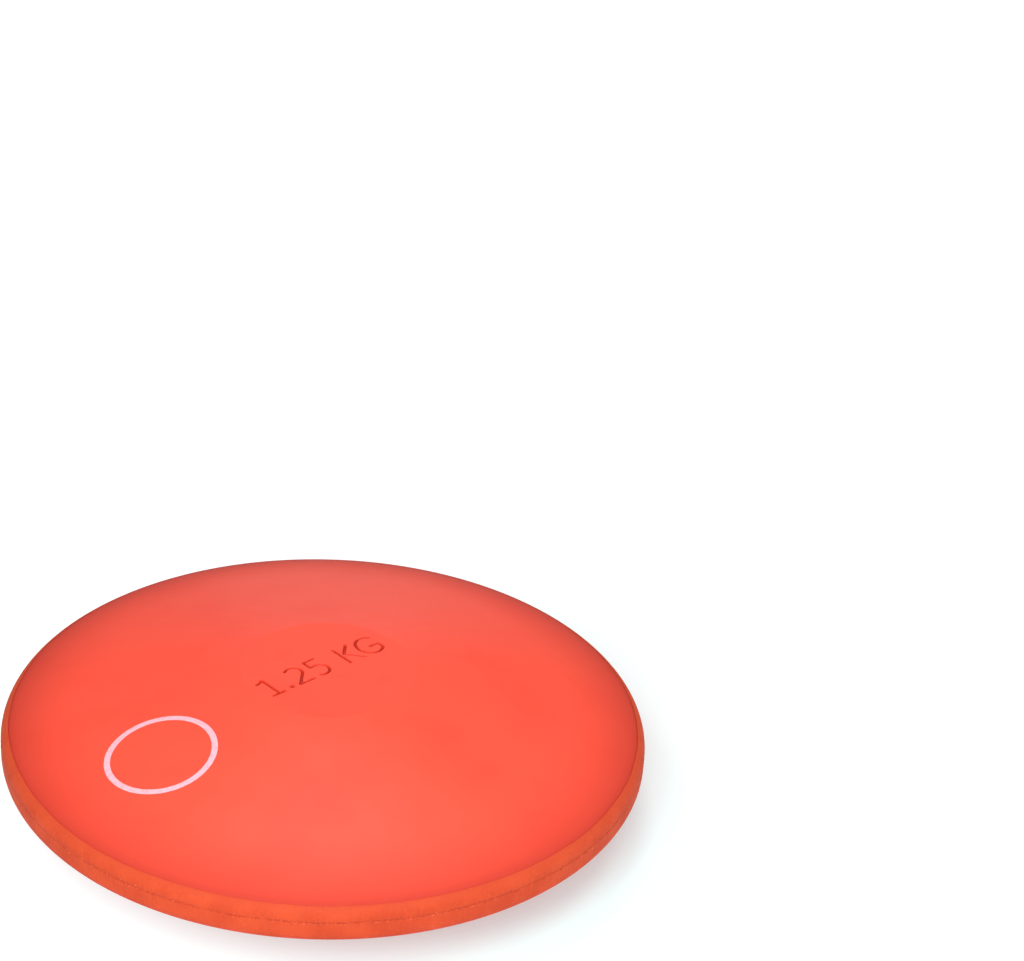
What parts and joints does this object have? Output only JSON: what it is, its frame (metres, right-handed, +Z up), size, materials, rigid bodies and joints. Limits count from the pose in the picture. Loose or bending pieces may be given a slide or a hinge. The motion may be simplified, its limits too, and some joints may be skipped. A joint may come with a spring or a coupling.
{
  "type": "discus",
  "caption": "Solid rubber training discus: two crowned faces with a flat centre, a ground rounded rim with its parting line, and a plain printed ring on one face.",
  "frame": {"origin": "middle of the lower flat, on the spin axis, at the lowest point of the discus", "axes": "+Z up along the spin axis, out of the upper face; the printed ring lies towards -X; the engraved figures read roughly along +X"},
  "size_m": [0.196, 0.196, 0.0455],
  "materials": {
    "coral_rubber": "moulded, satin",
    "ground_rubber": "ground, matt",
    "seam_rubber": "trimmed flash, matt",
    "core_rubber": "as moulded, matt",
    "print_ink": "screen-printed, matt"
  },
  "bodies": {
    "root": {"upper_face": "coral_rubber", "lower_face": "coral_rubber", "upper_rim_band": "ground_rubber", "lower_rim_band": "ground_rubber", "parting_seam": "seam_rubber", "core": "core_rubber", "printed_ring": "print_ink"}
  },
  "joints": []
}
